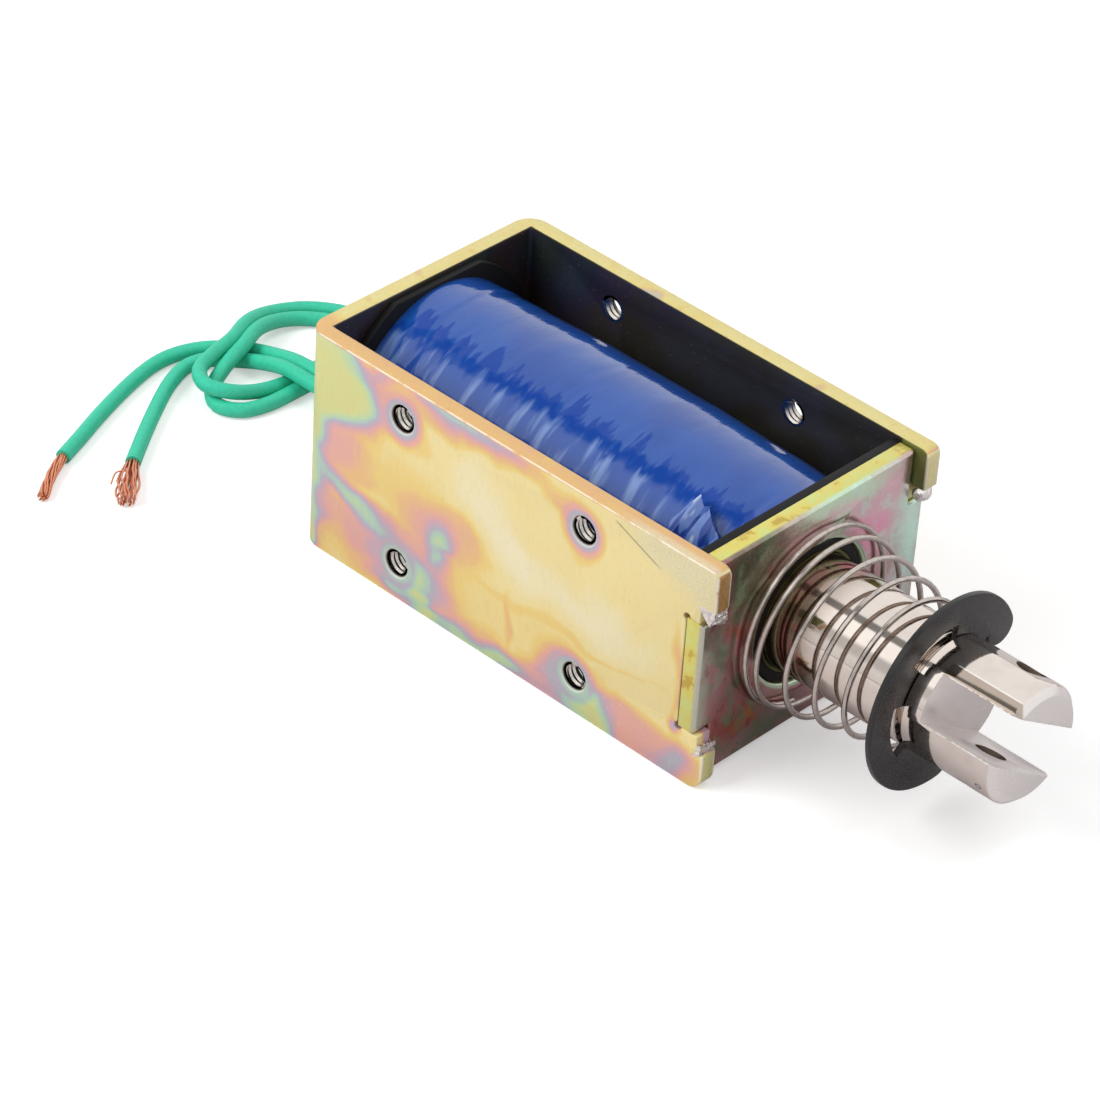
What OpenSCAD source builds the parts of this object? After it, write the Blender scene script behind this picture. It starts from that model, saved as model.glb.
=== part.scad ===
// Push pull solenoid: open steel frame, taped coil, sprung plunger with a clevis end, two free leads.
// The plunger's axis lies along X, with the clevis towards +X. The frame stands on Z = 0.
// The origin is at the bottom, in the middle of the length from push rod to clevis tip.

/* [Frame] */
// Length of the side walls, from the back face to the ends of the ears
frame_l = 69.8; // [64:0.1:76]
// Gap between the fullest round of the taped coil and a side wall
side_gap = 1.7; // [1:0.1:4]
// How far the frame stands above and below the fullest round of the coil
edge_gap = 0.35; // [0.2:0.05:2]
// Thickness of the frame's steel
wall_t = 2.4; // [2:0.1:2.6]
// Outside radius of the two bends
bend_r = 3; // [2.7:0.1:5]
// How far the ears stand past the front plate
ear_reach = 1.7; // [1.4:0.1:2.5]
// Radius of the lower corner of an ear
ear_low_r = 2.2; // [1:0.1:3]
// Radius of the upper corner of an ear
ear_top_r = 1.2; // [0.5:0.1:3]
// Depth to which an ear's end is staked back beside the tab
stake_depth = 1.1; // [0.5:0.1:1.3]
// Height of the staked stretch of an ear
stake_h = 2.6; // [1.5:0.1:3.5]

/* [Screw holes] */
// Bore of a tapped mounting hole
screw_hole_d = 3.5; // [2.5:0.1:4.2]
// Countersink of a mounting hole
screw_sink_d = 4.3; // [4.25:0.05:6]
// Distance between the holes along the frame
screw_pitch_x = 31; // [24:0.5:38]
// Distance between the holes across the height
screw_pitch_z = 22; // [16:0.5:23.5]
// Distance from the back face to the first holes
screw_back = 17.3; // [12:0.1:22]

/* [Front plate] */
// Thickness of the front plate
plate_t = 2.6; // [2:0.1:3.2]
// How far the plate's edge lies inside the frame's edge, above and below
plate_inset = 0.45; // [0.2:0.05:0.8]
// Gap between the plate's side and the wall
plate_side_gap = 0.3; // [0.1:0.05:0.6]
// Height of the tab that goes through the wall
tab_h = 16.1; // [12:0.1:18]
// How far the tab's middle lies below the axis
tab_drop = 0.3; // [0:0.1:1]
// Gap between the plate's hole and the bobbin's neck
plate_hole_gap = 0.07; // [0.03:0.01:0.3]

/* [Coil] */
// Thickness of the bobbin's rear flange
rear_flange_t = 1.1; // [0.8:0.1:2]
// Gap between the round sides of the rear flange and the walls
rear_flange_gap = 0.2; // [0.1:0.05:0.8]
// Thickness of the bobbin's front flange
front_flange_t = 1.3; // [0.8:0.1:2]
// Wall of the bobbin's barrel
barrel_t = 0.85; // [0.6:0.05:1.2]
// How far the bobbin's neck ends behind the front of the plate
neck_back = 0.5; // [0.1:0.1:1.5]
// Wall of the bobbin's neck in the plate
neck_t = 1.25; // [0.8:0.05:1.5]
// Outside diameter of the winding, which sets the frame's width and height
winding_d = 29.2; // [26:0.1:36]
// Thickness of the tape at the winding's ends
tape_end_t = 0.6; // [0.4:0.05:0.8]
// Thickness of the tape at the winding's middle
tape_mid_t = 1.3; // [0.85:0.05:1.45]
// Length of the loose end of the tape, along the coil
tail_l = 9; // [5:0.5:14]
// Thickness of the loose end of the tape
tail_t = 0.25; // [0.2:0.05:0.4]
// Wall of the brass guide tube
guide_t = 0.4; // [0.3:0.05:0.6]

/* [Core] */
// Distance from the wall's inner face to the mouth of the fixed core
core_l = 27.6; // [22:0.1:30]
// Depth of the core's conical seat
seat_l = 6; // [4:0.1:8]
// Diameter of the seat's floor
seat_floor_d = 9; // [8:0.1:10]
// Width of the core's face round the seat's mouth
seat_rim = 0.67; // [0.4:0.01:1.2]
// Diameter of the core's shank in the back wall
shank_d = 10; // [8:0.1:12]
// Diameter of the riveted head behind the wall
rivet_d = 13; // [12.5:0.1:16]
// Height of the riveted head
rivet_h = 1.3; // [0.8:0.1:2]
// Thickness of the nylon washer on the seat's floor
washer_t = 0.5; // [0.3:0.1:1]

/* [Plunger] */
// Diameter of the plunger
plunger_d = 15.8; // [15.4:0.1:16.2]
// Distance from the front plate to the clevis tip at rest
plunger_out = 35.3; // [33:0.1:40]
// Stroke of the plunger
stroke = 10; // [6:0.5:12]
// Free length between the washer and the nose when pulled in
nose_gap = 0.3; // [0.2:0.1:1]
// Radial gap between the nose's cone and the seat, at the floor and at the mouth
nose_side_gap = 0.3; // [0.1:0.05:0.6]
// Width of the clevis slot
slot_w = 6.3; // [5:0.1:8]
// Depth of the clevis slot
slot_l = 11.4; // [8:0.1:12.5]
// Angle that the clevis is turned about the plunger's axis
clevis_roll = 33; // [0:1:90]
// Diameter of the cross hole for the clevis pin
pin_d = 4; // [3:0.1:5]
// Distance from the tip to the cross hole
pin_back = 5; // [3.5:0.1:6.5]
// Chamfer at the clevis tip
tip_chamfer = 1; // [0.3:0.1:1.5]
// Diameter of the push rod
rod_d = 4; // [3:0.1:5]
// Length of the push rod inside the plunger
rod_hold = 12; // [8:0.5:20]
// How far the push rod stands behind the riveted head at rest
rod_out = 1; // [0.2:0.1:3]

/* [Clip and spring] */
// Distance from the clevis tip to the front face of the E-clip
clip_back = 14.1; // [13.5:0.1:16]
// Thickness of the E-clip
clip_t = 0.9; // [0.7:0.05:1.2]
// Outside diameter of the E-clip
clip_d = 26.4; // [24:0.1:28]
// Depth of the plunger's groove that holds the clip
groove_depth = 1.3; // [0.8:0.1:1.6]
// Radial gap between the plunger and the clip's recesses
clip_recess_gap = 1.6; // [0.6:0.1:2.1]
// Diameter of the spring's wire
spring_wire_d = 0.75; // [0.5:0.05:0.9]
// Mean diameter of the spring at the plate
spring_big_d = 24.8; // [22:0.1:27]
// Radial gap between the plunger and the spring's last turn
spring_gap = 0.425; // [0.35:0.025:1]
// Number of open turns of the spring
spring_turns = 4.5; // [3:0.25:6]

/* [Leads] */
// Diameter of a lead over its insulation
lead_d = 2.1; // [1.5:0.05:2.15]
// Distance between the two leads in the grommet
lead_pitch = 2.6; // [2.6:0.1:3.2]
// Diameter of the bare copper at the insulation's end
strand_d = 1.3; // [0.8:0.1:1.4]
// Diameter of the splayed copper of the second lead
splay_d = 2.2; // [1.4:0.1:2.4]
// Distance of the grommet from the outer face of the far wall
grommet_in = 9; // [8.8:0.1:9]
// Height of the grommet above the ground
grommet_z = 7; // [6.8:0.1:7.2]
// Diameter of the grommet in the wall
grommet_d = 6.4; // [6.2:0.1:7]
// Diameter of the grommet's outer rim
grommet_rim_d = 8.6; // [8:0.1:10]
// Thickness of the grommet's outer rim
grommet_rim_t = 1; // [0.6:0.1:1.5]

/* [Hidden] */
// Running clearance on a radius
run_c = 0.1;
// Small clearance between pieces that are fixed together
fix_c = 0.03;
eps = 0.01;
round_fn = 96;

// Stations along the axis, measured from the outer face of the back wall
plate_front_x = frame_l - ear_reach;
plate_back_x = plate_front_x - plate_t;
wall_in_x = wall_t;
core_mouth_x = wall_in_x + core_l;
seat_floor_x = core_mouth_x - seat_l;
nose_x = seat_floor_x + washer_t + nose_gap + stroke;
tip_x = plate_front_x + plunger_out;
clip_front_x = tip_x - clip_back;
clip_back_x = clip_front_x - clip_t;
slot_end_x = tip_x - slot_l;
pin_x = tip_x - pin_back;
rod_tip_x = -rivet_h - rod_out;
rod_end_x = nose_x + rod_hold;
winding_x0 = wall_in_x + rear_flange_t;
winding_x1 = plate_back_x - front_flange_t;
mid_x = (tip_x + rod_tip_x) / 2;

// Radii round the axis
plunger_r = plunger_d / 2;
guide_in_r = plunger_r + run_c;
guide_out_r = guide_in_r + guide_t;
bore_r = guide_out_r + fix_c;
barrel_r = bore_r + barrel_t;
neck_r = bore_r + neck_t;
plate_hole_r = neck_r + plate_hole_gap;
winding_r = winding_d / 2;
tape_in_r = winding_r + fix_c;
tape_end_r = winding_r + tape_end_t;
tape_mid_r = winding_r + tape_mid_t;
core_r = guide_in_r - fix_c;
seat_mouth_r = core_r - seat_rim;
seat_floor_r = seat_floor_d / 2;
nose_base_r = seat_mouth_r - nose_side_gap;
nose_r = seat_floor_r - nose_side_gap;
groove_r = plunger_r - groove_depth;
clip_recess_r = plunger_r + clip_recess_gap;

// The frame round the taped coil, and the plate and flanges inside it
inner_w = 2 * (tape_mid_r + side_gap);
frame_w = inner_w + 2 * wall_t;
frame_h = 2 * (tape_mid_r + edge_gap);
axis_z = frame_h / 2;
plate_h = frame_h - 2 * plate_inset;
rear_flange_r = inner_w / 2 - rear_flange_gap;
grommet_y = frame_w / 2 - grommet_in;
tab_lo = -tab_h / 2 - tab_drop;
tab_hi = tab_h / 2 - tab_drop;

// Angles of the E-clip about the axis, counted from +Y towards +Z
clip_mid_a = 149;
clip_end_a = 124;
clip_prong_a = 117;
prong_a = 17;
window_a = 67;

// Route of the first lead's middle line: along X from the back face, across Y from the grommet,
// and height above the ground
route_a = [
  [2.4, 1.3, 7], [-2, 1.3, 7], [-6.5, 1.4, 6.8], [-12, 3, 5.7], [-19, 6.2, 3.4], [-26, 8.4, 1.5],
  [-32, 8.4, 1.1], [-36.8, 5, 1.1], [-38.6, -0.2, 1.8], [-37.6, -5.4, 3.1], [-35.6, -10, 3.4],
  [-34.5, -14.5, 3.4], [-33, -18.4, 3.4], [-29.8, -20.2, 3.4], [-26.8, -18.4, 3], [-25.7, -14.5, 1.9],
  [-25.5, -10, 1.1], [-25.5, -5, 1.1], [-24.5, 0, 1.1], [-21, 3.3, 1.1], [-16.5, 3.2, 1.1],
  [-13, 0, 1.2], [-12.6, -4.4, 1.8], [-15.5, -8.4, 2.8], [-20, -9.4, 3.4], [-25.5, -9.6, 3.4],
  [-30, -9.8, 2.2], [-33.6, -10.6, 1.1], [-36.2, -13.2, 1.1], [-37.2, -16.8, 1.1], [-35.6, -21.4, 1.1],
  [-32.5, -26.6, 1.1], [-28.9, -32, 1.1], [-25.2, -37.2, 1.1]];
strand_route_a = [[-25.2, -37.2, 1.1], [-22.8, -40, 1.3], [-20.4, -42.4, 1.3], [-19.2, -43.6, 1.2]];
// Route of the second lead's middle line
route_b = [
  [2.4, -1.3, 7], [-2, -1.3, 7], [-6, -1.2, 6.8], [-11.5, 0.5, 5.8], [-18, 3.6, 4], [-25, 6, 1.7],
  [-31, 5.9, 1.1], [-34.8, 3.4, 1.1], [-36.3, -0.8, 1.9], [-35.4, -5.6, 3.1], [-33.4, -10, 3.4],
  [-32.2, -14.5, 2.6], [-30.9, -18, 1.3], [-27.7, -20, 1.1], [-24.6, -18.3, 1.1], [-23.4, -14.5, 1.1],
  [-23.3, -10, 1.1], [-23.3, -5, 1.1], [-22.4, -0.6, 1.1], [-19, 1.2, 1.1], [-15.6, -0.4, 1.3],
  [-14.7, -3.4, 2], [-15.8, -6.1, 2.8], [-19.4, -7.1, 3.4], [-25.4, -7.3, 3.4], [-30.2, -7.3, 2.2],
  [-34.4, -7.8, 1.1], [-37.4, -10.4, 1.1], [-39.4, -13.4, 1.1], [-40.4, -17, 1.1], [-40.2, -21, 1.1],
  [-38.6, -26.8, 1.1], [-36.3, -33.1, 1.1], [-34, -38.6, 1.1], [-32.2, -43.1, 1.1]];
strand_route_b = [[-32.2, -43.1, 1.1], [-30.8, -46.2, 1], [-28.8, -49, 0.9], [-27.4, -50.8, 0.9]];

// Puts a shape drawn from the back wall and the axis into the part's own frame
module place() {
  translate([-mid_x, 0, axis_z])
    children();
}

// A solid of revolution about the axis, from points given as radius and station
module turned(points) {
  rotate([0, 90, 0])
    rotate_extrude($fn = round_fn)
      polygon(points);
}

// A round bar or bore along the axis
module bar(r, x0, x1) {
  translate([x0, 0, 0])
    rotate([0, 90, 0])
      cylinder(r = r, h = x1 - x0, $fn = round_fn);
}

// A slab across the axis between two stations, drawn as a plane outline in Y and Z
module across(x0, x1) {
  translate([x0, 0, 0])
    rotate([90, 0, 90])
      linear_extrude(height = x1 - x0)
        children();
}

// A plane sector of a ring, from angle a0 to a1
module sector(r0, r1, a0, a1) {
  steps = 6;
  far = r1 * 1.5;
  intersection() {
    difference() {
      circle(r = r1, $fn = round_fn);
      circle(r = r0, $fn = round_fn);
    }
    polygon(concat(
      [[0, 0]],
      [for (i = [0 : steps]) let (a = a0 + (a1 - a0) * i / steps) far * [cos(a), sin(a)]]));
  }
}

// The U of the frame seen from above, back wall at X = 0
module bent_outline(inset, r) {
  w = frame_w - 2 * inset;
  translate([inset + r, -w / 2])
    square([frame_l - inset - r + 1, w]);
  translate([inset, r - w / 2])
    square([frame_l - inset + 1, w - 2 * r]);
  for (s = [-1, 1])
    translate([inset + r, s * (w / 2 - r)])
      circle(r = r, $fn = 48);
}

// A square corner with a round of radius r taken off, its corner at the origin, lying in +X and +Y
module corner_off(r) {
  translate([-r, -r])
    difference() {
      square([r + 1, r + 1]);
      circle(r = r, $fn = 48);
    }
}

// The side wall seen from the side, with its ears, notch and corners
module side_outline() {
  gap = 0.1;
  notch_x = plate_back_x - gap;
  difference() {
    translate([-1, -frame_h / 2])
      square([frame_l + 1, frame_h]);
    translate([notch_x, tab_lo - gap])
      square([frame_l - notch_x + 1, tab_h + 2 * gap]);
    translate([frame_l - stake_depth, tab_lo - stake_h])
      square([stake_depth + 1, tab_h + 2 * stake_h]);
    for (z = [tab_lo - gap, tab_hi + gap])
      translate([notch_x + 0.1, z])
        circle(r = 0.55, $fn = 24);
    translate([frame_l, frame_h / 2])
      corner_off(ear_top_r);
    translate([frame_l, -frame_h / 2])
      mirror([0, 1])
        corner_off(ear_low_r);
  }
}

module u_frame() {
  color([0.86, 0.8, 0.55])
    place()
      difference() {
        intersection() {
          translate([0, 0, -frame_h / 2])
            linear_extrude(height = frame_h)
              difference() {
                bent_outline(0, bend_r);
                bent_outline(wall_t, bend_r - wall_t);
              }
          rotate([90, 0, 0])
            translate([0, 0, -frame_w / 2 - 1])
              linear_extrude(height = frame_w + 2)
                side_outline();
        }
        for (side = [-1, 1], i = [0, 1], k = [-1, 1])
          translate([screw_back + i * screw_pitch_x, side * frame_w / 2, k * screw_pitch_z / 2])
            rotate([side * 90, 0, 0]) {
              translate([0, 0, -1])
                cylinder(d = screw_hole_d, h = wall_t + 2, $fn = 48);
              translate([0, 0, -eps])
                cylinder(
                  d1 = screw_sink_d + 2 * eps,
                  d2 = screw_hole_d,
                  h = (screw_sink_d - screw_hole_d) / 2 + eps,
                  $fn = 48);
            }
        bar(shank_d / 2 + fix_c, -1, wall_t + 1);
        translate([-1, grommet_y, grommet_z - axis_z])
          rotate([0, 90, 0])
            cylinder(d = grommet_d + 2 * fix_c, h = wall_t + 2, $fn = 48);
      }
}

module front_plate() {
  plate_w = inner_w - 2 * plate_side_gap;
  color([0.62, 0.6, 0.5])
    place()
      difference() {
        union() {
          across(plate_back_x, plate_front_x)
            square([plate_w, plate_h], center = true);
          across(plate_back_x, plate_front_x)
            translate([-frame_w / 2, tab_lo])
              square([frame_w, tab_h]);
        }
        bar(plate_hole_r, plate_back_x - 1, plate_front_x + 1);
      }
}

module bobbin() {
  color([0.1, 0.1, 0.1])
    place()
      difference() {
        union() {
          across(wall_in_x, winding_x0)
            intersection() {
              circle(r = rear_flange_r, $fn = round_fn);
              square([inner_w - 0.2, plate_h - 0.2], center = true);
            }
          across(winding_x1, plate_back_x)
            square([inner_w - 0.2, plate_h - 0.2], center = true);
          bar(barrel_r, wall_in_x, plate_back_x);
          bar(neck_r, winding_x1, plate_front_x - neck_back);
        }
        bar(bore_r, 0, plate_front_x);
      }
}

module coil_winding() {
  color([0.72, 0.4, 0.2])
    place()
      difference() {
        bar(winding_r, winding_x0, winding_x1);
        bar(barrel_r + fix_c, winding_x0 - 1, winding_x1 + 1);
      }
}

// Stations and radii of the tape's outer face, a barrel with flat ends
function tape_face(x0, x1) = [
  [tape_end_r, x0],
  [(tape_end_r + tape_mid_r) / 2, x0 + (x1 - x0) * 0.15],
  [tape_mid_r, x0 + (x1 - x0) * 0.35],
  [tape_mid_r, x0 + (x1 - x0) * 0.62],
  [(tape_end_r + tape_mid_r) / 2, x0 + (x1 - x0) * 0.85],
  [tape_end_r, x1]];

module tape_wrap() {
  x0 = winding_x0;
  x1 = winding_x1;
  color([0.2, 0.38, 0.75])
    place()
      turned(concat([[tape_in_r, x0]], tape_face(x0, x1), [[tape_in_r, x1]]));
}

// The loose end of the tape lies on the wrap, high on the near side by the front flange
module tape_tail() {
  x1 = winding_x1 - 1;
  x0 = x1 - tail_l;
  r = tape_mid_r + fix_c;
  color([0.3, 0.48, 0.85])
    place()
      across(x0, x1)
        sector(r, r + tail_t, 118, 150);
}

module guide_tube() {
  color([0.8, 0.66, 0.35])
    place()
      difference() {
        bar(guide_out_r, wall_in_x, plate_front_x - neck_back);
        bar(guide_in_r, 0, plate_front_x);
      }
}

module fixed_core() {
  hole_r = rod_d / 2 + run_c;
  color([0.75, 0.75, 0.74])
    place()
      turned([
        [hole_r, -rivet_h],
        [rivet_d / 2 - 0.5, -rivet_h],
        [rivet_d / 2, -rivet_h + 0.5],
        [rivet_d / 2, 0],
        [shank_d / 2, 0],
        [shank_d / 2, wall_in_x],
        [core_r, wall_in_x],
        [core_r, core_mouth_x],
        [seat_mouth_r, core_mouth_x],
        [seat_floor_r, seat_floor_x],
        [hole_r, seat_floor_x]]);
}

module stop_washer() {
  color([0.9, 0.9, 0.86])
    place()
      difference() {
        bar(seat_floor_r - 0.1, seat_floor_x, seat_floor_x + washer_t);
        bar(rod_d / 2 + run_c + 0.1, seat_floor_x - 1, seat_floor_x + washer_t + 1);
      }
}

// Middle line of the spring's wire: a closed turn at the plate, open turns, and a closed half turn at the clip
spring_x0 = plate_front_x + spring_wire_d / 2 + 0.02;
spring_x1 = clip_back_x - spring_wire_d / 2 - 0.02;
spring_close = 1;
spring_tail = 0.6;
spring_lay = spring_wire_d * 1.15;
spring_small_d = plunger_d + spring_wire_d + 2 * spring_gap;
spring_all = spring_close + spring_turns + spring_tail;
spring_open_x = spring_x1 - spring_x0 - spring_lay * (spring_close + spring_tail);
function spring_x(u) =
  spring_x0 + spring_lay * min(u, spring_close)
  + spring_open_x * max(0, min(u - spring_close, spring_turns)) / spring_turns
  + spring_lay * max(0, u - spring_close - spring_turns);
function spring_r(x) =
  (spring_big_d + (spring_small_d - spring_big_d) * (x - spring_x0) / (spring_x1 - spring_x0)) / 2;
function spring_at(u) =
  let (x = spring_x(u), a = 260 - 360 * u, r = spring_r(x)) [x, r * cos(a), r * sin(a)];

// Unit vector along v
function unit(v) = v / norm(v);
// Direction of a path of points at its point i
function heading(p, i) = unit(p[min(i + 1, len(p) - 1)] - p[max(i - 1, 0)]);

// A tube of radii rs round the points p, with the given number of sides; up is never along the path
module tube(p, rs, sides, up) {
  n = len(p);
  points = [
    for (i = [0 : n - 1])
      let (t = heading(p, i), s = unit(cross(t, up)), u = cross(s, t))
        for (k = [0 : sides - 1])
          p[i] + rs[i] * (cos(360 * k / sides + 22.5) * s + sin(360 * k / sides + 22.5) * u)];
  faces = concat(
    [[for (k = [0 : sides - 1]) k]],
    [for (i = [0 : n - 2], k = [0 : sides - 1])
      let (a = i * sides + k, b = i * sides + (k + 1) % sides)
        [a, a + sides, b]],
    [for (i = [0 : n - 2], k = [0 : sides - 1])
      let (a = i * sides + k, b = i * sides + (k + 1) % sides)
        [b, a + sides, b + sides]],
    [[for (k = [sides - 1 : -1 : 0]) (n - 1) * sides + k]]);
  polyhedron(points = points, faces = faces);
}

module return_spring() {
  rings = ceil(spring_all * 18);
  path = [for (i = [0 : rings]) spring_at(spring_all * i / rings)];
  color([0.62, 0.6, 0.57])
    place()
      tube(path, [for (p = path) spring_wire_d / 2], 8, [1, 0, 0]);
}

module e_clip() {
  tab_r = (clip_d / 2 - clip_recess_r) / 2 + 0.5;
  tab_mid = clip_d / 2 - tab_r;
  grip_r = groove_r + 0.05;
  color([0.2, 0.19, 0.2])
    place()
      across(clip_back_x, clip_front_x) {
        sector(clip_recess_r, clip_d / 2, clip_mid_a - clip_end_a, clip_mid_a + clip_end_a);
        for (s = [-1, 1])
          rotate(clip_mid_a + s * clip_end_a)
            translate([tab_mid, 0])
              circle(r = tab_r, $fn = 48);
        sector(grip_r, clip_recess_r + 0.2, clip_mid_a - prong_a, clip_mid_a + prong_a);
        sector(grip_r, clip_recess_r + 0.2, clip_mid_a - clip_prong_a, clip_mid_a - window_a);
        sector(grip_r, clip_recess_r + 0.2, clip_mid_a + window_a, clip_mid_a + clip_prong_a);
      }
}

module plunger() {
  color([0.86, 0.84, 0.82])
    place()
      difference() {
        turned([
          [0, nose_x],
          [nose_r, nose_x],
          [nose_base_r, nose_x + seat_l],
          [plunger_r, nose_x + seat_l],
          [plunger_r, clip_back_x - 0.05],
          [groove_r, clip_back_x - 0.05],
          [groove_r, clip_front_x + 0.05],
          [plunger_r, clip_front_x + 0.05],
          [plunger_r, tip_x - tip_chamfer],
          [plunger_r - tip_chamfer, tip_x],
          [0, tip_x]]);
        bar(rod_d / 2, nose_x - 1, rod_end_x);
        rotate([-clevis_roll, 0, 0]) {
          translate([slot_end_x, -plunger_d, -slot_w / 2])
            cube([slot_l + 1, 2 * plunger_d, slot_w]);
          translate([pin_x, 0, -plunger_d])
            cylinder(d = pin_d, h = 2 * plunger_d, $fn = 48);
        }
      }
}

module push_rod() {
  color([0.78, 0.78, 0.8])
    place()
      turned([
        [0, rod_tip_x],
        [rod_d / 2 - 0.4, rod_tip_x],
        [rod_d / 2, rod_tip_x + 0.4],
        [rod_d / 2, rod_end_x],
        [0, rod_end_x]]);
}

module lead_grommet() {
  color([0.08, 0.08, 0.08])
    place()
      translate([0, grommet_y, grommet_z - axis_z])
        difference() {
          union() {
            bar(grommet_d / 2, -grommet_rim_t, wall_in_x);
            bar(grommet_rim_d / 2, -grommet_rim_t, 0);
          }
          for (s = [-1, 1])
            translate([0, s * lead_pitch / 2, 0])
              bar(lead_d / 2 + fix_c, -grommet_rim_t - 1, wall_in_x + 1);
        }
}

// A lead or its copper, swept along a route of heights above the ground
module lead(route, r0, r1) {
  n = len(route);
  translate([-mid_x, grommet_y, 0])
    tube(route, [for (i = [0 : n - 1]) r0 + (r1 - r0) * min(1, 2 * i / (n - 1))], 8, [0, 0, 1]);
}

module lead_wire_a() {
  color([0.25, 0.78, 0.65])
    lead(route_a, lead_d / 2, lead_d / 2);
}

module lead_wire_b() {
  color([0.25, 0.78, 0.65])
    lead(route_b, lead_d / 2, lead_d / 2);
}

module lead_strand_a() {
  color([0.85, 0.5, 0.35])
    lead(strand_route_a, strand_d / 2, splay_d / 2);
}

module lead_strand_b() {
  color([0.85, 0.5, 0.35])
    lead(strand_route_b, strand_d / 2, strand_d / 2);
}

u_frame();
front_plate();
bobbin();
coil_winding();
tape_wrap();
tape_tail();
guide_tube();
fixed_core();
stop_washer();
return_spring();
e_clip();
plunger();
push_rod();
lead_grommet();
lead_wire_a();
lead_wire_b();
lead_strand_a();
lead_strand_b();
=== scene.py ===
# %% [markdown]
# # Push pull solenoid
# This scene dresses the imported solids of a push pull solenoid: a bent steel frame with a taped coil in it,
# and a plunger with a clevis at its end, held out by a conical spring and an E-clip. Two leads leave at
# the back. Everything is in metres. X runs along the plunger, with the clevis towards +X, and the frame
# stands on the ground at Z = 0.

import math
import random

import bmesh
import bpy
from mathutils import Matrix, Vector
from mathutils import noise as rough_field


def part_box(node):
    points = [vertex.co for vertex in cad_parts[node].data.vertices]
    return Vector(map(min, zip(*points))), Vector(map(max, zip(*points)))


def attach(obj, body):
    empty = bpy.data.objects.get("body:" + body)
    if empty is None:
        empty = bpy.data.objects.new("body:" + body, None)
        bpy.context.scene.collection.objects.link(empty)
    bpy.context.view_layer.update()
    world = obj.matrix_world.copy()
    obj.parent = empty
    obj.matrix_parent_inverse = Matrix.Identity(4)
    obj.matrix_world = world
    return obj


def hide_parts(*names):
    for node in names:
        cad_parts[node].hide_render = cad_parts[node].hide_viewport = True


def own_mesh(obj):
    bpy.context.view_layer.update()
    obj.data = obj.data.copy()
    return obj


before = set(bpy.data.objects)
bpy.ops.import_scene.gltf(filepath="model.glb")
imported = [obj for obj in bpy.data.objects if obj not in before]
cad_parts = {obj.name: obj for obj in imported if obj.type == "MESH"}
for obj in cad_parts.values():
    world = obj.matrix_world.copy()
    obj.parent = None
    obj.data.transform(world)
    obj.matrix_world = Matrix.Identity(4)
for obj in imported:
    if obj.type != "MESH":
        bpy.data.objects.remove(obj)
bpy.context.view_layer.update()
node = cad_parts

# %% [markdown]
# ## Stations and sizes
# The new pieces take their places from the solids' own boxes, so that they fit whatever size those have.
# The few sizes that a box can't give are named here. The materials count in millimetres.

# %% Stations along the axis
frame_lo, frame_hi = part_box("u_frame")
clip_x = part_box("e_clip")[0][0]
back_x, ear_x = frame_lo[0], frame_hi[0]
plate_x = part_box("front_plate")[1][0]
tip_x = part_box("plunger")[1][0]
axis_z = (frame_lo[2] + frame_hi[2]) / 2
top_z = frame_hi[2]
wall_y, wall_t = frame_hi[1], 0.0024
plate_hole_r = 0.00975
slot_half, clevis_roll = 0.00315, math.radians(33)
hole_mid, hole_pitch_x, hole_pitch_z = 0.0328, 0.031, 0.022
back_mm, ear_mm, plate_mm, tip_mm, axis_mm, top_mm = (
    v * 1000 for v in (back_x, ear_x, plate_x, tip_x, axis_z, top_z))
print("back wall at", round(back_mm, 2), "plate at", round(plate_mm, 2), "tip at", round(tip_mm, 2), "mm")

# %% [markdown]
# ## Camera
# A long lens stands well back, above and in front of the near side, and looks down along the plunger
# towards the back wall. It comes first because the leads are measured against what it sees.

# %% Camera
def linked(name, data):
    """A new object in the scene for this camera, lamp, curve or mesh."""
    made = bpy.data.objects.new(name, data)
    bpy.context.scene.collection.objects.link(made)
    return made


camera_data = bpy.data.cameras.new("camera")
camera_data.lens = 152.22
camera = linked("camera", camera_data)
right = Vector((0.71570441, 0.69630317, 0.05412103)).normalized()
forward = Vector((-0.53934329, 0.60027435, -0.59057559)).normalized()
turn = Matrix((right, right.cross(forward), -forward)).transposed()
camera.matrix_world = Matrix.Translation((0.295079, -0.356645, 0.352827)) @ turn.to_4x4()
bpy.context.scene.camera = camera
print("camera", round(camera.location.length, 3), "m from the origin")

# %% [markdown]
# ## Leads
# Each lead is a stranded copper wire in a green jacket of 2.1 mm, soft enough to lie where it is put. It
# leaves through the grommet, sinks to the ground, turns back round the other lead and runs out with its
# copper bared. A curve through the route's points, with a round bevel, keeps an even thickness along a line
# whose length can be read off, and is then made a mesh.

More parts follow.
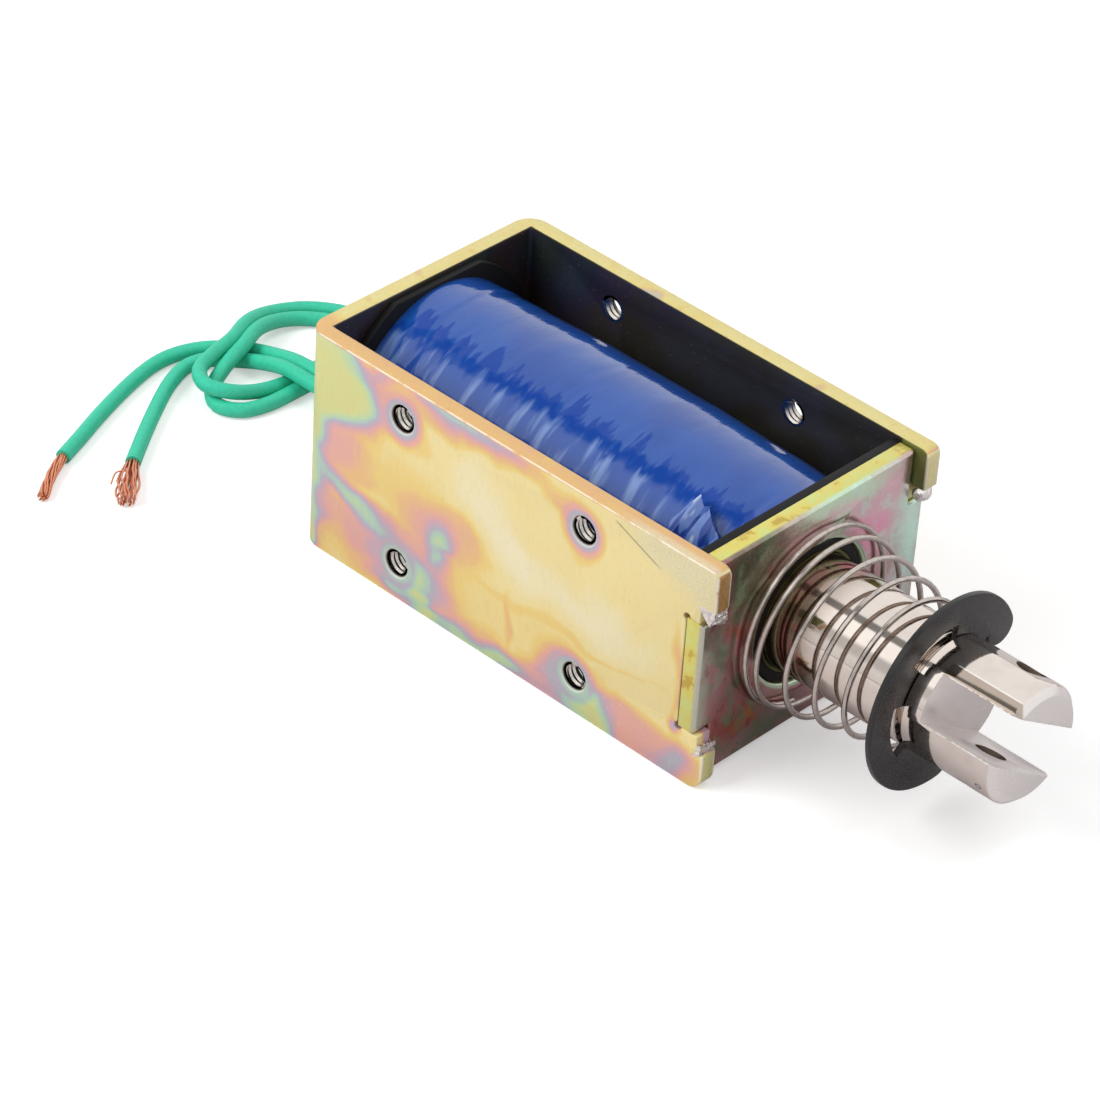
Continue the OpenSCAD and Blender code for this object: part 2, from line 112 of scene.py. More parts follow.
# %% Routes of the leads
grommet_y = wall_y - 0.009
route_a = [
    (-2, 1.3, 7), (-6.5, 1.4, 6.8), (-12, 3, 5.7), (-19, 6.2, 3.4), (-26, 8.4, 1.5), (-32, 8.4, 1.1),
    (-36.8, 5, 1.1), (-38.6, -0.2, 1.8), (-37.6, -5.4, 3.1), (-35.6, -10, 3.4), (-34.5, -14.5, 3.4),
    (-33, -18.4, 3.4), (-29.8, -20.2, 3.4), (-26.8, -18.4, 3), (-25.7, -14.5, 1.9), (-25.5, -10, 1.1),
    (-25.5, -5, 1.1), (-24.5, 0, 1.1), (-21, 3.3, 1.1), (-16.5, 3.2, 1.1), (-13, 0, 1.2),
    (-12.6, -4.4, 1.8), (-15.5, -8.4, 2.8), (-20, -9.4, 3.4), (-25.5, -9.6, 3.4), (-30, -9.8, 2.2),
    (-33.6, -10.6, 1.1), (-36.2, -13.2, 1.1), (-37.2, -16.8, 1.1), (-35.6, -21.4, 1.1),
    (-32.5, -26.6, 1.1), (-28.9, -32, 1.1), (-25.2, -37.2, 1.1)]
route_b = [
    (-2, -1.3, 7), (-6, -1.2, 6.8), (-11.5, 0.5, 5.8), (-18, 3.6, 4), (-25, 6, 1.7), (-31, 5.9, 1.1),
    (-34.8, 3.4, 1.1), (-36.3, -0.8, 1.9), (-35.4, -5.6, 3.1), (-33.4, -10, 3.4), (-32.2, -14.5, 2.6),
    (-30.9, -18, 1.3), (-27.7, -20, 1.1), (-24.6, -18.3, 1.1), (-23.4, -14.5, 1.1), (-23.3, -10, 1.1),
    (-23.3, -5, 1.1), (-22.4, -0.6, 1.1), (-19, 1.2, 1.1), (-15.6, -0.4, 1.3), (-14.7, -3.4, 2),
    (-15.8, -6.1, 2.8), (-19.4, -7.1, 3.4), (-25.4, -7.3, 3.4), (-30.2, -7.3, 2.2), (-34.4, -7.8, 1.1),
    (-37.4, -10.4, 1.1), (-39.4, -13.4, 1.1), (-40.4, -17, 1.1), (-40.2, -21, 1.1), (-38.6, -26.8, 1.1),
    (-36.3, -33.1, 1.1), (-34, -38.6, 1.1), (-32.2, -43.1, 1.1)]


def laid(route):
    """The route's points in metres, from the back face and the grommet."""
    return [Vector((back_x + x / 1000, grommet_y + y / 1000, z / 1000)) for x, y, z in route]


def smooth_between(points, steps):
    """More points on the smooth line through the given ones."""
    out = []
    last = len(points) - 1
    for i in range(last):
        a, b, c, d = points[max(i - 1, 0)], points[i], points[i + 1], points[min(i + 2, last)]
        for k in range(steps):
            t = k / steps
            out.append(0.5 * (2 * b + (c - a) * t + (2 * a - 5 * b + 4 * c - d) * t * t
                              + (3 * b - a - 3 * c + d) * t ** 3))
    return out + [points[-1]]


def length_of(points):
    return sum((b - a).length for a, b in zip(points, points[1:]))


# %% Making a wire
def hold(obj):
    """Makes this the one selected and active object."""
    if bpy.context.object and bpy.context.object.mode != "OBJECT":
        bpy.ops.object.mode_set(mode="OBJECT")
    bpy.ops.object.select_all(action="DESELECT")
    obj.select_set(True)
    bpy.context.view_layer.objects.active = obj


def freeze():
    """Puts the active object's place, turn and scale into its mesh."""
    bpy.ops.object.transform_apply()


def wear(obj, made):
    """Gives a piece this material in all its slots."""
    obj.data.materials.clear()
    obj.data.materials.append(made)


def settle(obj, name, body, made=None, angle=35, solid=None):
    """Finishes a piece: place into its mesh, name, body, material, and the solid it stands for."""
    hold(obj)
    freeze()
    bpy.ops.object.shade_smooth_by_angle(angle=math.radians(angle))
    obj.name = obj.data.name = name
    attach(obj, body)
    if solid:
        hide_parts(solid)
    if made:
        wear(obj, made)
    print(name, "has", len(obj.data.polygons), "faces")


def tube_along(name, points, radius, resolution=2):
    """A round wire through the points, as a mesh."""
    curve = bpy.data.curves.new(name, "CURVE")
    curve.dimensions = "3D"
    curve.bevel_depth = radius
    curve.bevel_resolution = resolution
    curve.use_fill_caps = True
    spline = curve.splines.new("POLY")
    spline.points.add(len(points) - 1)
    for p, q in zip(spline.points, points):
        p.co = (*q, 1)
    hold(linked(name, curve))
    bpy.ops.object.convert(target="MESH")
    return bpy.context.object


# %% Lead curves
lead_r = 0.00105


def lead_curve(name, route, solid):
    """A lead along the route from the mouth of the grommet, and the line that it follows."""
    points = smooth_between(laid(route), 4)
    points = [Vector((back_x - 0.001, points[0].y, points[0].z))] + points
    lead = tube_along(name, points, lead_r, 6)
    settle(lead, name, "body", angle=50, solid=solid)
    return lead, points


lead_a, line_a = lead_curve("lead_a", route_a, "lead_wire_a")
lead_b, line_b = lead_curve("lead_b", route_b, "lead_wire_b")
print("leads are", round(length_of(line_a), 4), "and", round(length_of(line_b), 4), "m long")

# %% [markdown]
# ## A small language for materials
# A material's pattern is a sum of simple parts: where a point lies, some noise, a soft patch here and
# there. It stays readable as plain arithmetic, so one small class wraps a socket, and each operator adds
# the Math node that it stands for. Any other node comes from its add method.

# %% Sockets with arithmetic
def math_node(operation, turned=False):
    """A method that puts its values through a Math node, in turned order if asked."""
    def method(self, *others):
        values = (self, *others)
        return self.add("Math", enumerate(values[::-1] if turned else values), operation=operation)
    return method


class Wire:
    """An output of a material's nodes. Arithmetic on it adds Math nodes to the material."""

    def __init__(self, tree, socket=None):
        self.tree, self.socket = tree, socket

    def add(self, kind, values=(), out=0, **settings):
        """Adds a node: its settings first, then the values or links of its sockets."""
        made = self.tree.nodes.new("ShaderNode" + kind)
        for name, value in settings.items():
            setattr(made, name, value)
        for name, value in dict(values).items():
            if isinstance(value, Wire):
                self.tree.links.new(value.socket, made.inputs[name])
            else:
                made.inputs[name].default_value = value
        return Wire(self.tree, made.outputs[out])

    __add__ = __radd__ = math_node("ADD")
    __mul__ = __rmul__ = math_node("MULTIPLY")
    __sub__, __rsub__ = math_node("SUBTRACT"), math_node("SUBTRACT", turned=True)
    __truediv__ = math_node("DIVIDE")
    __abs__ = math_node("ABSOLUTE")
    most = math_node("MAXIMUM")

    def step(self, low, high):
        """Rises smoothly from 0 at low to 1 at high."""
        return self.add("MapRange", {0: self, 1: low, 2: high}, interpolation_type="SMOOTHSTEP")

    def to(self, other, share):
        """This value where share is 0, the other where it is 1."""
        return self.add("Mix", {0: share, 2: self, 3: other}, data_type="FLOAT")

    def tint(self, colour, share):
        return tinted(self, self, colour, share)

    def length(self):
        return self.add("VectorMath", {0: self}, out=1, operation="LENGTH")

    def hypot(self, other):
        """The distance that this and the other make up at right angles."""
        return self.add("CombineXYZ", {0: self, 1: other}).length()

    def mapped(self, kind="POINT", **values):
        """This place moved, turned and scaled, or seen from a frame that is."""
        return self.add("Mapping", {"Vector": self, **values}, vector_type=kind)

    def scaled(self, x, y, z):
        """This place with scaled axes, so that noise is drawn out along the small ones."""
        return self.mapped(Scale=(x, y, z))

    def twin(self, name):
        """Another output of the same node."""
        return Wire(self.tree, self.socket.node.outputs[name])


# %% Colours
def paint(colour):
    """A screen colour of three values up to 255 as a shader's light values. Others stay as they are."""
    if isinstance(colour, Wire) or len(colour) == 4:
        return colour
    parts = [v / 255 for v in colour]
    return (*(v / 12.92 if v <= 0.04045 else ((v + 0.055) / 1.055) ** 2.4 for v in parts), 1.0)


def tinted(start, first, second, share):
    """The first colour where share is 0, the second where it is 1."""
    return start.add("Mix", {0: share, 6: paint(first), 7: paint(second)}, out=2, data_type="RGBA")


def ramp(value, stops, how="EASE"):
    """Turns a value into the colours of the stops (value, colour)."""
    made = value.add("ValToRGB", {0: value})
    band = made.socket.node.color_ramp
    band.interpolation = how
    while len(band.elements) < len(stops):
        band.elements.new(0.5)
    for element, (spot, colour) in zip(band.elements, stops):
        element.position, element.color = spot, paint(colour)
    return made


# %% Noise and places
def noise(place, scale, detail=2.0, rough=0.5, out=0):
    values = {"Vector": place, "Scale": scale, "Detail": detail, "Roughness": rough}
    return place.add("TexNoise", values, out=out)


def in_mm(start):
    """Where a point lies in the part's frame, in millimetres."""
    return start.add("VectorMath", {0: start.add("TexCoord", out=3), "Scale": 1000.0}, operation="SCALE")


def parts_of(place):
    split = place.add("SeparateXYZ", {0: place})
    return [split.twin(i) for i in range(3)]


def warped(place, scale, detail, rough, reach):
    """The place, pushed about by soft noise, by at most half of reach in mm."""
    drift = noise(place, scale, detail, rough, out=1)
    lean = place.add("VectorMath", {0: drift, 1: (0.5, 0.5, 0.5)}, operation="SUBTRACT")
    return place.add("VectorMath", {0: lean, 1: reach, 2: place}, operation="MULTIPLY_ADD")


# %% Making a material
def material(name):
    made = bpy.data.materials.new(name)
    made.use_nodes = True
    made.node_tree.nodes.clear()
    return made, Wire(made.node_tree)


def surface(shader, kind="Material"):
    """Sends a shader to the output of its material or world."""
    output = shader.tree.nodes.new("ShaderNodeOutput" + kind)
    shader.tree.links.new(shader.socket, output.inputs["Surface"])


def finish_material(start, bump, strength, reach, **values):
    """A Principled shader with these values, over a bump that is at most reach metres high."""
    values["Normal"] = start.add("Bump", {"Strength": strength, "Distance": reach, "Height": bump})
    surface(start.add("BsdfPrincipled", {name.replace("_", " "): v for name, v in values.items()}))


# %% [markdown]
# ## Ground and light
# The part lies on a plain white ground. Two wide soft lamps and an even sky light it, and the ground looks
# white to the camera and in the polished metal, while it still takes the part's soft shadow.

# %% Ground
bpy.ops.mesh.primitive_plane_add(size=6)
ground = bpy.context.object
ground.name = "ground"
sky_light = 0.42
white, start = material("white_ground")
camera_ray = start.add("LightPath")
shade = tinted(start, (231, 231, 231), (216, 212, 214), camera_ray.twin("Is Glossy Ray"))
matt = start.add("BsdfDiffuse", {"Color": shade})
glow = start.add("Emission", {"Color": (1, 1, 1, 1), "Strength": camera_ray * sky_light})
surface(start.add("AddShader", {0: matt, 1: glow}))
wear(ground, white)

# %% Sky
# Polished metal mirrors the studio: a bright backdrop behind the part, a dark gap, a soft box on the
# camera's side and a dimmer room below it. How far a direction leans from straight up towards the near side
# picks its brightness.
world = bpy.data.worlds.new("sky")
world.use_nodes = True
bpy.context.scene.world = world
world.node_tree.nodes.clear()
start = Wire(world.node_tree)
camera_ray = start.add("LightPath")
glossy_ray = camera_ray.twin("Is Glossy Ray")
_, to_y, to_z = parts_of(start.add("TexCoord", out=0))
lean = (to_y * -1) / (abs(to_y) + to_z.most(0.0) + 0.001) * 0.5 + 0.5
studio = [(0.00, 1.02), (0.54, 1.02), (0.56, 0.26), (0.625, 0.26), (0.64, 1.25), (0.76, 1.25),
          (0.79, 0.62), (0.85, 0.62), (0.89, 0.85), (1.00, 0.75)]
mirrored = ramp(lean, [(spot, (v / 2, v / 2, v / 2, 1)) for spot, v in studio], "LINEAR") * 2
strength = (glossy_ray * -1 + 1) * sky_light + glossy_ray * mirrored
surface(start.add("Background", {"Color": (1, 1, 1, 1), "Strength": strength.most(camera_ray)}), "World")


# %% Lamps
def soft_lamp(name, place, target, size, watts):
    lamp = bpy.data.lights.new(name, "AREA")
    lamp.shape = "RECTANGLE"
    lamp.size, lamp.size_y = size
    lamp.energy = watts
    obj = linked(name, lamp)
    look = (Vector(target) - Vector(place)).to_track_quat("-Z", "Y")
    obj.matrix_world = Matrix.Translation(place) @ look.to_matrix().to_4x4()
    obj.visible_glossy = False


soft_lamp("side_lamp", (-0.30, -0.46, 0.46), (0, 0, 0.01), (0.45, 0.36), 3.3)
soft_lamp("top_lamp", (0.15, 0.25, 0.8), (0, 0, 0), (0.5, 0.5), 2.15)
print("ground, sky and lamps made")

# %% [markdown]
# ## Zinc plate with yellow passivation
# The frame's steel is zinc plated and passivated. The clear film is some hundred nanometres thick, so its
# thickness shows as interference colours: cream where it is thinnest, then yellow, pink, lilac, blue-green
# and yellow-green. One number, the film's thickness, is painted over the metal in soft patches and turned
# into colour by one ramp, so that each patch gets its rim of in-between colours by itself.

# %% Film thickness to colour
film_colours = [
    (0.00, (244, 234, 196)), (0.14, (243, 225, 162)), (0.26, (241, 212, 132)), (0.36, (238, 194, 136)),
    (0.46, (234, 176, 164)), (0.55, (212, 173, 186)), (0.64, (186, 182, 196)), (0.72, (180, 208, 194)),
    (0.80, (194, 218, 172)), (0.90, (214, 218, 152)), (1.00, (228, 208, 122))]


def patch(place, x, z, wide, high, tilt=0, edge=3.2):
    """1 inside an oval patch on a plane across Y and 0 outside it, with an edge that fades. Sizes in mm."""
    fade = min(0.9, edge / min(wide, high))
    spot = place.mapped("TEXTURE", Location=(x + back_mm, 0, z), Rotation=(0, math.radians(-tilt), 0),
                        Scale=(wide, 400, high))
    return spot.length().step(1 + fade, 1 - fade)


# Each patch on the near wall: film thickness, place from the back face and the ground, half its width and
# its height, and its tilt
near_patches = [
    (0.24, 17.9, 17.1, 7, 4.6), (0.93, 4.7, 27, 8.8, 7.2), (0.92, 0.2, 14.6, 4.6, 17),
    (0.47, 7.9, 17.1, 4, 2.4), (0.35, 11, 15.9, 3, 1.4, -10), (0.48, 10, 6.6, 5.2, 4.4),
    (0.78, 10.2, 11.4, 7.4, 1.7, -20), (1, 2.6, 3.6, 1.4, 2.1), (0.47, 24.6, 13.2, 6, 4.8),
    (0.4, 28.6, 16.8, 3.4, 2.7), (0.5, 25, 4.6, 4.2, 3.6), (0.6, 20.7, 7.5, 3.2, 2.3),
    (0.74, 16.4, 1.6, 4.6, 1.6), (0.9, 18.2, 5.6, 4.2, 3.4), (0.9, 21.4, 2.9, 1.4, 1.1),
    (0.96, 23.6, 0.9, 2, 1), (0.8, 25, 12.1, 2, 2.6), (0.66, 17.4, 26.9, 2.9, 2.7),
    (0.2, 32.9, 8.2, 4.3, 3.6), (0.2, 42.1, 8.9, 4.3, 4.3), (0.38, 36.4, 7.9, 0.5, 4.4, 2),
    (0.3, 44.3, 11.3, 14, 0.6), (0.06, 30.7, 24.6, 4.6, 4.6), (0.01, 37.1, 18.2, 6.8, 3.4, -35),
    (0.03, 51.4, 15.7, 10, 2.8, -4), (0.5, 30.7, 2.5, 3.6, 1.8), (0.84, 33, 0.3, 10, 1.7),
    (0.5, 42.9, 2.5, 3.6, 2.1), (0.84, 48.2, 4.6, 4.4, 3.4), (0.94, 52.4, 1.6, 6, 3),
    (0.45, 59.3, 2.4, 4.3, 2), (0.66, 66, 2.2, 3.4, 2.3), (0.48, 27.1, 30.9, 13.6, 1.1),
    (0.36, 45.7, 29.6, 2.9, 1.4), (0.55, 48.4, 26.6, 2.7, 2.7), (0.42, 64.7, 14.6, 0.8, 5.7),
    (0.62, 64.8, 7.5, 1.2, 1.2), (0.7, 25, 32, 12, 0.9)]


def film_on_walls(place, on_near):
    """The film's thickness on the frame: painted on the near wall, in soft clouds on the rest."""
    bent = warped(place, 0.13, 1.2, 0.4, (7.0, 0.0, 7.0))
    near = noise(place, 0.16, 3.0, 0.6) * 0.16 + 0.07
    for film, *spot in near_patches:
        near = near.to(film, patch(bent, *spot))
    clouds = noise(place, 0.045, 2.0, 0.5).step(0.36, 0.78) * 0.8 + 0.03
    rest = clouds.to(0.90, noise(place, 0.08, 1.5).step(0.56, 0.76))
    return rest.to(near, on_near)


# %% Frame steel
frame_steel, start = material("zinc_steel_frame")
place = in_mm(start)
along, side, height = parts_of(place)
from_back = along - back_mm
on_near = (side * -1).step(18.4, 19.4)
film = film_on_walls(place, on_near)
fine = noise(place, 3.2, 4.0, 0.65)
grain = noise(place.scaled(1.5, 1.5, 0.35), 1.0, 3.0, 0.6)
rim = height.step(top_mm - 0.35, top_mm - 0.12)
past_rim = side.step(-17.0, -15.0)
rim_film = past_rim * -0.17 + 0.35 + (noise(place, 0.30, 3.0) - 0.5) * 0.26
rim_film = rim_film.to(0.93, noise(place, 0.16, 2.0).step(0.60, 0.70) * side.step(-15.0, -12.0) * 0.6)
film = film.to(rim_film, rim) + (fine - 0.5) * 0.09 + (grain - 0.5) * 0.09
from_hole = abs(abs(from_back - hole_mid * 1000) - hole_pitch_x * 500).hypot(
    abs(abs(height - axis_mm) - hole_pitch_z * 500))
outer = abs(side).step(19.0, 19.4)
film = film.to(0.52, from_hole.step(4.3, 3.1) * outer * 0.55)
film = film.to(0.74, from_hole.step(3.1, 2.4) * outer * 0.6)
colour = ramp(film, film_colours)
mottle = noise(place.scaled(1.0, 1.0, 0.4), 1.7, 4.0, 0.7)
colour = colour.tint((214, 196, 160), mottle.step(0.52, 0.70) * 0.22)
rim_tone = tinted(start, (212, 168, 104), (204, 196, 124), past_rim)
colour = colour.tint(rim_tone, rim * (mottle * 0.5 + 0.25))

# %% Scuffs on the near wall
# Above a straight scratch by the upper ear the wall is scuffed to a speckled grey.
above = height + from_back * 0.40 - 53.0
blotch = noise(place, 0.45, 3.0, 0.6)
corner = (above + (blotch - 0.5) * 5.0).step(-1.6, 2.2) * from_back.step(50, 60) * on_near
speckle = tinted(start, (214, 202, 182), (230, 228, 190), fine.step(0.38, 0.60))
colour = colour.tint(speckle, corner * 0.6)
scratch = abs(above + 0.1).step(0.20, 0.05) * from_back.step(53, 54) * from_back.step(61.5, 59.5) * on_near
colour = colour.tint((140, 130, 104), scratch * 0.7)
scuff = noise(place, 1.4, 5.0, 0.75).step(0.64, 0.80) * 0.4
worn = patch(place, 60, 6, 9, 5, edge=4.0) * 0.7
scuff = scuff.most(noise(place, 2.2, 3.0, 0.7).step(0.60, 0.68) * worn)
colour = colour.tint((232, 228, 216), scuff)

# %% Ears, holes and the inside
# The ears' sheared ends run from olive to brown. Inside the frame the plate is painted almost black as
# shade, with a painted navy and teal sheen, and an olive shade on the inner faces by the plate.
end = along.step(ear_mm - 0.30, ear_mm - 0.18)
upper = height.step(axis_mm - 3, axis_mm + 3)
near_end = tinted(start, (214, 212, 146), (184, 130, 66), upper)
sheared = near_end.tint((246, 236, 176), side.step(-1, 1))
torn = noise(place, 2.4, 4.0, 0.7).step(0.50, 0.66) * (upper * side.step(1, -1) * 0.55 + 0.15)
sheared = sheared.tint((96, 66, 30), torn)
colour = colour.tint(sheared, end * 0.9)
# Painted shade: the inner faces are darkened almost to black, with a painted navy and teal sheen, and an
# olive shade by the plate.
inside = abs(side).step(17.75, 17.62) * from_back.step(2.2, 2.35)
ear_side = along.step(plate_mm - 2.7, plate_mm - 2.3)
inside_shade = tinted(start, (26, 27, 32), (34, 38, 56), noise(place, 0.10, 2.5).step(0.42, 0.6))
inside_shade = inside_shade.tint((34, 44, 40), noise(place, 0.16, 2.0).step(0.56, 0.7) * 0.8)
inside_shade = inside_shade.tint((112, 122, 66), ear_side)
colour = colour.tint(inside_shade, inside * 0.95)
# Painted highlight on each hole's rim, and painted shade down its bore between the thread's ridges.
colour = colour.tint((238, 234, 222), from_hole.step(2.24, 2.14) * outer * 0.5)
colour = colour.tint((62, 54, 48), from_hole.step(2.02, 1.86))
# Painted highlight lines along the top outer edge and the ears' edges, where the rounded edges catch the
# light.
line = abs(side).step(19.78, 19.92) * height.step(top_mm - 0.22, top_mm - 0.10)
line = line.most(end * (abs(side).step(19.6, 19.8) + abs(side).step(17.95, 17.8)))
colour = colour.tint((252, 244, 224), line * blotch.step(0.30, 0.50) * 0.8)
dab = noise(place.scaled(0.5, 0.5, 1.6), 2.6, 2.0, 0.5).step(0.68, 0.74)
colour = colour.tint((176, 158, 122), dab * 0.35)
finish_material(start, noise(place, 5.0, 5.0, 0.7) + noise(place, 0.8, 2.0) * 1.5, 0.14, 0.00008,
                Base_Color=colour, Metallic=inside * 0.15 + 0.35,
                Roughness=fine * 0.12 + scuff * 0.25 + 0.28)
print("frame steel has", len(start.tree.nodes), "nodes")

# %% [markdown]
# ## The pole plate
# The plate at the front took a thicker, muddier film: grey green and maroon in blotches on the left, pale
# rose and mint on the right, brown red below. Its patches are colours laid over each other, since they
# follow no ramp.

# %% Plate steel
plate_steel, start = material("zinc_steel_plate")
place = in_mm(start)
x, y, z = parts_of(place)
bent = warped(place, 0.16, 4.0, 0.6, (0.0, 9.0, 9.0))


def face_patch(y, z, wide, high):
    """1 in the middle of an oval patch on the plate's face, from its own middle, in mm, and 0 outside."""
    spot = bent.mapped("TEXTURE", Location=(0, y, z + axis_mm), Scale=(400, wide, high))
    return spot.add("TexGradient", {"Vector": spot}, out=1, gradient_type="SPHERICAL").step(0, 0.9)


face_colours = [
    ((196, 138, 142), -14, 0, 9, 20), ((140, 136, 112), -12, 10, 9, 9), ((104, 102, 84), -13, 13, 8, 5),
    ((232, 206, 210), 8, 10, 14, 12), ((255, 178, 206), 10, 8, 8, 8),
    ((212, 246, 230), 17.5, 2, 4.4, 16), ((232, 202, 226), 15.5, -4, 4, 4),
    ((206, 230, 200), 4, 15.6, 15, 2.6), ((176, 96, 84), -13, -10, 10, 7),
    ((222, 136, 84), -11, -11, 4.5, 2.6), ((150, 160, 140), -5, -14.5, 8, 3),
    ((172, 184, 164), -16.5, 2, 2, 7), ((226, 166, 180), 6, -12, 9, 5),
    ((200, 222, 190), 4.5, 11.5, 3.5, 2.2), ((196, 120, 100), -12.5, 3.5, 3, 2)]
face = (196, 160, 158)
for colour, *spot in face_colours:
    face = tinted(start, face, colour, face_patch(*spot))
drops = noise(place, 0.22, 4.0, 0.65)
face = face.tint((208, 242, 226), drops.step(0.50, 0.66) * y.step(-2.0, 6.0) * 0.7)
oil = noise(place.scaled(1.0, 1.0, 0.7), 0.34, 4.0, 0.65)
left = y.step(-5.0, -10.0)
face = face.tint((132, 156, 124), oil.step(0.49, 0.60) * left * 0.75)
face = face.tint((150, 78, 84), oil.step(0.44, 0.34) * left * 0.6)
face = face.tint((206, 220, 196), (y - oil * 4.0).step(-19.4, -21.4) * 0.65)
fine = noise(place, 2.6, 5.0, 0.7)
face = face.tint((236, 232, 214), fine.step(0.60, 0.80) * 0.45)
face = face.tint((60, 56, 46), fine.step(0.42, 0.28) * 0.4)
edge_film = noise(place, 0.30, 3.0, 0.6) * 0.5 + 0.68
edge = ramp(edge_film, [(0.0, (206, 214, 148)), (0.86, (210, 218, 132)), (0.96, (222, 208, 110)),
                        (1.0, (196, 168, 76))])
from_axis = y.hypot(z - axis_mm)
rim_r = plate_hole_r * 1000 + 0.5
# Painted reflection: the countersink's pale green stands for the bright reflection in it as well as its
# film.
face = face.tint((206, 230, 200), from_axis.step(rim_r + 0.3, rim_r))
front = x.step(plate_mm - 0.75, plate_mm - 0.35)
# Painted shade: the back face, inside the frame, is darkened almost to black.
painted_back_shade = x.step(plate_mm - 2.5, plate_mm - 2.6)
face = edge.tint(face, front)
finish_material(start, noise(place, 4.0, 5.0, 0.7) + noise(place, 0.35, 2.0) * 6.0, 0.10, 0.00008,
                Base_Color=face.tint((50, 46, 40), painted_back_shade), Metallic=front * 0.42 + 0.45,
                Roughness=fine * 0.12 + 0.13)
print("plate steel has", len(start.tree.nodes), "nodes")

# %% [markdown]
# ## Bare and hidden metals
# Cut threads, the crushed ends of the ears, the spring and the hidden core are plain metals. They differ in
# colour, in how polished they are, and in the fine noise that breaks up their shine.

# %% A plain finish
def plain(name, colour, rough, spread, scale, shade, strength, rise, detail, **shine):
    """A colour clouded with a darker shade of itself, over a fine bump."""
    made, start = material(name)
    place = in_mm(start)
    cloud = noise(place, scale, 4.0, 0.6)
    light = paint(colour)
    dark = (*(v * (1 - shade) for v in light[:3]), 1.0)
    colour = tinted(start, dark, light, cloud.step(0.3, rise))
    finish_material(start, noise(place, scale * 3, detail, 0.6), strength, 0.00005,
                    Base_Color=colour, Roughness=cloud * spread + rough, **shine)
    return made


def metal(name, colour, rough, spread=0.1, scale=4.0, shade=0.25, metallic=1.0, strength=0.08):
    return plain(name, colour, rough, spread, scale, shade, strength, 0.6, 4.0, Metallic=metallic)


thread_steel = metal("cut_thread", (228, 222, 214), 0.18)
crushed_zinc = metal("crushed_zinc", (252, 246, 244), 0.18, scale=2.0, shade=0.35, strength=0.6)
spring_wire = metal("spring_wire", (204, 194, 187), 0.15, scale=1.2, shade=0.2)
tube_brass = metal("tube_brass", (104, 104, 62), 0.36, spread=0.05, scale=0.5)
core_iron = metal("core_iron", (180, 178, 174), 0.3)
rod_polish = metal("rod_polish", (200, 200, 204), 0.12)
winding_copper = metal("winding_copper", (190, 110, 60), 0.35)
bare_copper = metal("bare_copper", (240, 160, 124), 0.30, scale=3.0, metallic=0.75)
print("plain metals made")

# %% Nickel plate
# The round of the plunger is polished. Its slot and its end are milled, so they are duller, with marks of
# the cutter across them, and the edges have small burrs, which are painted as bright glints. Near the plate
# the round is painted brown, as a painted reflection of the plate.
nickel_plate, start = material("nickel_plate")
place = in_mm(start)
x, y, z = parts_of(place)
from_axis = y.hypot(z - axis_mm)
milled = from_axis.step(7.80, 7.70) * x.step(tip_mm - 11.8, tip_mm - 11.4)
cloud = noise(place, 0.35, 2.0, 0.5)
marks = noise(place.scaled(3.0, 0.4, 0.4), 2.0, 4.0, 0.6)
pits = noise(place, 1.7, 4.0, 0.7).step(0.65, 0.73)
plate = tinted(start, (222, 211, 203), (230, 219, 210), cloud.step(0.3, 0.6))
plate = plate.tint((242, 235, 232), milled)
plate = plate.tint((140, 126, 116), pits * (milled * 0.6 + 0.15))
# Painted reflection: near the plate the polished round is painted brown, as the plate mirrored in it.
plate_reflection = x.step(plate_mm + 9, plate_mm + 2)
plate = plate.tint((128, 100, 80), plate_reflection * 0.85)

# %% The clevis's pin hole and a painted dark reflection beside its slot
up = z - axis_mm
raised = y * math.sin(clevis_roll) + up * math.cos(clevis_roll)
aside = y * math.cos(clevis_roll) - up * math.sin(clevis_roll)
# Painted shade: the pin hole's bore is darkened.
hole = (x - (tip_mm - 5.0)).hypot(aside).step(2.10, 2.02)
# Painted reflection: a darker strip along the upper tine beside the slot stands for a dark reflection there.
strip_edge_at = 4.85
dark_reflection_strip = raised.step(3.02, 3.10) * raised.step(strip_edge_at, strip_edge_at - 0.13) * aside.step(-6.0, -6.3)
dark_reflection_strip = dark_reflection_strip * x.step(tip_mm - 11.6, tip_mm - 11.2)
plate = plate.tint((96, 82, 70), hole)
plate = plate.tint((172, 154, 138), dark_reflection_strip * 0.75)
clevis = x.step(tip_mm - 10.9, tip_mm - 10.3)
# Painted highlight along the strip's edge, and painted glints on the burrs by the slot.
lit_edge = abs(raised - strip_edge_at).step(0.12, 0.03) * aside.step(-6.0, -6.3)
burr_glint = abs(abs(raised) - slot_half * 1000).step(0.20, 0.05) * from_axis.step(7.45, 7.6)
burr_glint = burr_glint * noise(place, 1.3, 3.0, 0.6).step(0.40, 0.56)
lit_edge = lit_edge.most(burr_glint) * clevis
plate = plate.tint((255, 252, 248), lit_edge * 0.8)
dimple = start.add("VectorMath", {0: place, 1: (tip_mm - 2.3, -7.24, axis_mm - 3.15)}, out=1,
                   operation="DISTANCE")
plate = plate.tint((84, 72, 66), dimple.step(0.50, 0.42) * dimple.step(0.24, 0.32))
finish_material(start, marks * (milled * 0.9 + 0.1) + noise(place, 1.5, 4.0), 0.05, 0.00005,
                Base_Color=plate, Metallic=milled * -0.45 + lit_edge * -0.4 + 1.0,
                Roughness=cloud * 0.04 + 0.06 + milled * 0.18 + pits * 0.1 + hole * 0.1)
print("nickel has", len(start.tree.nodes), "nodes")

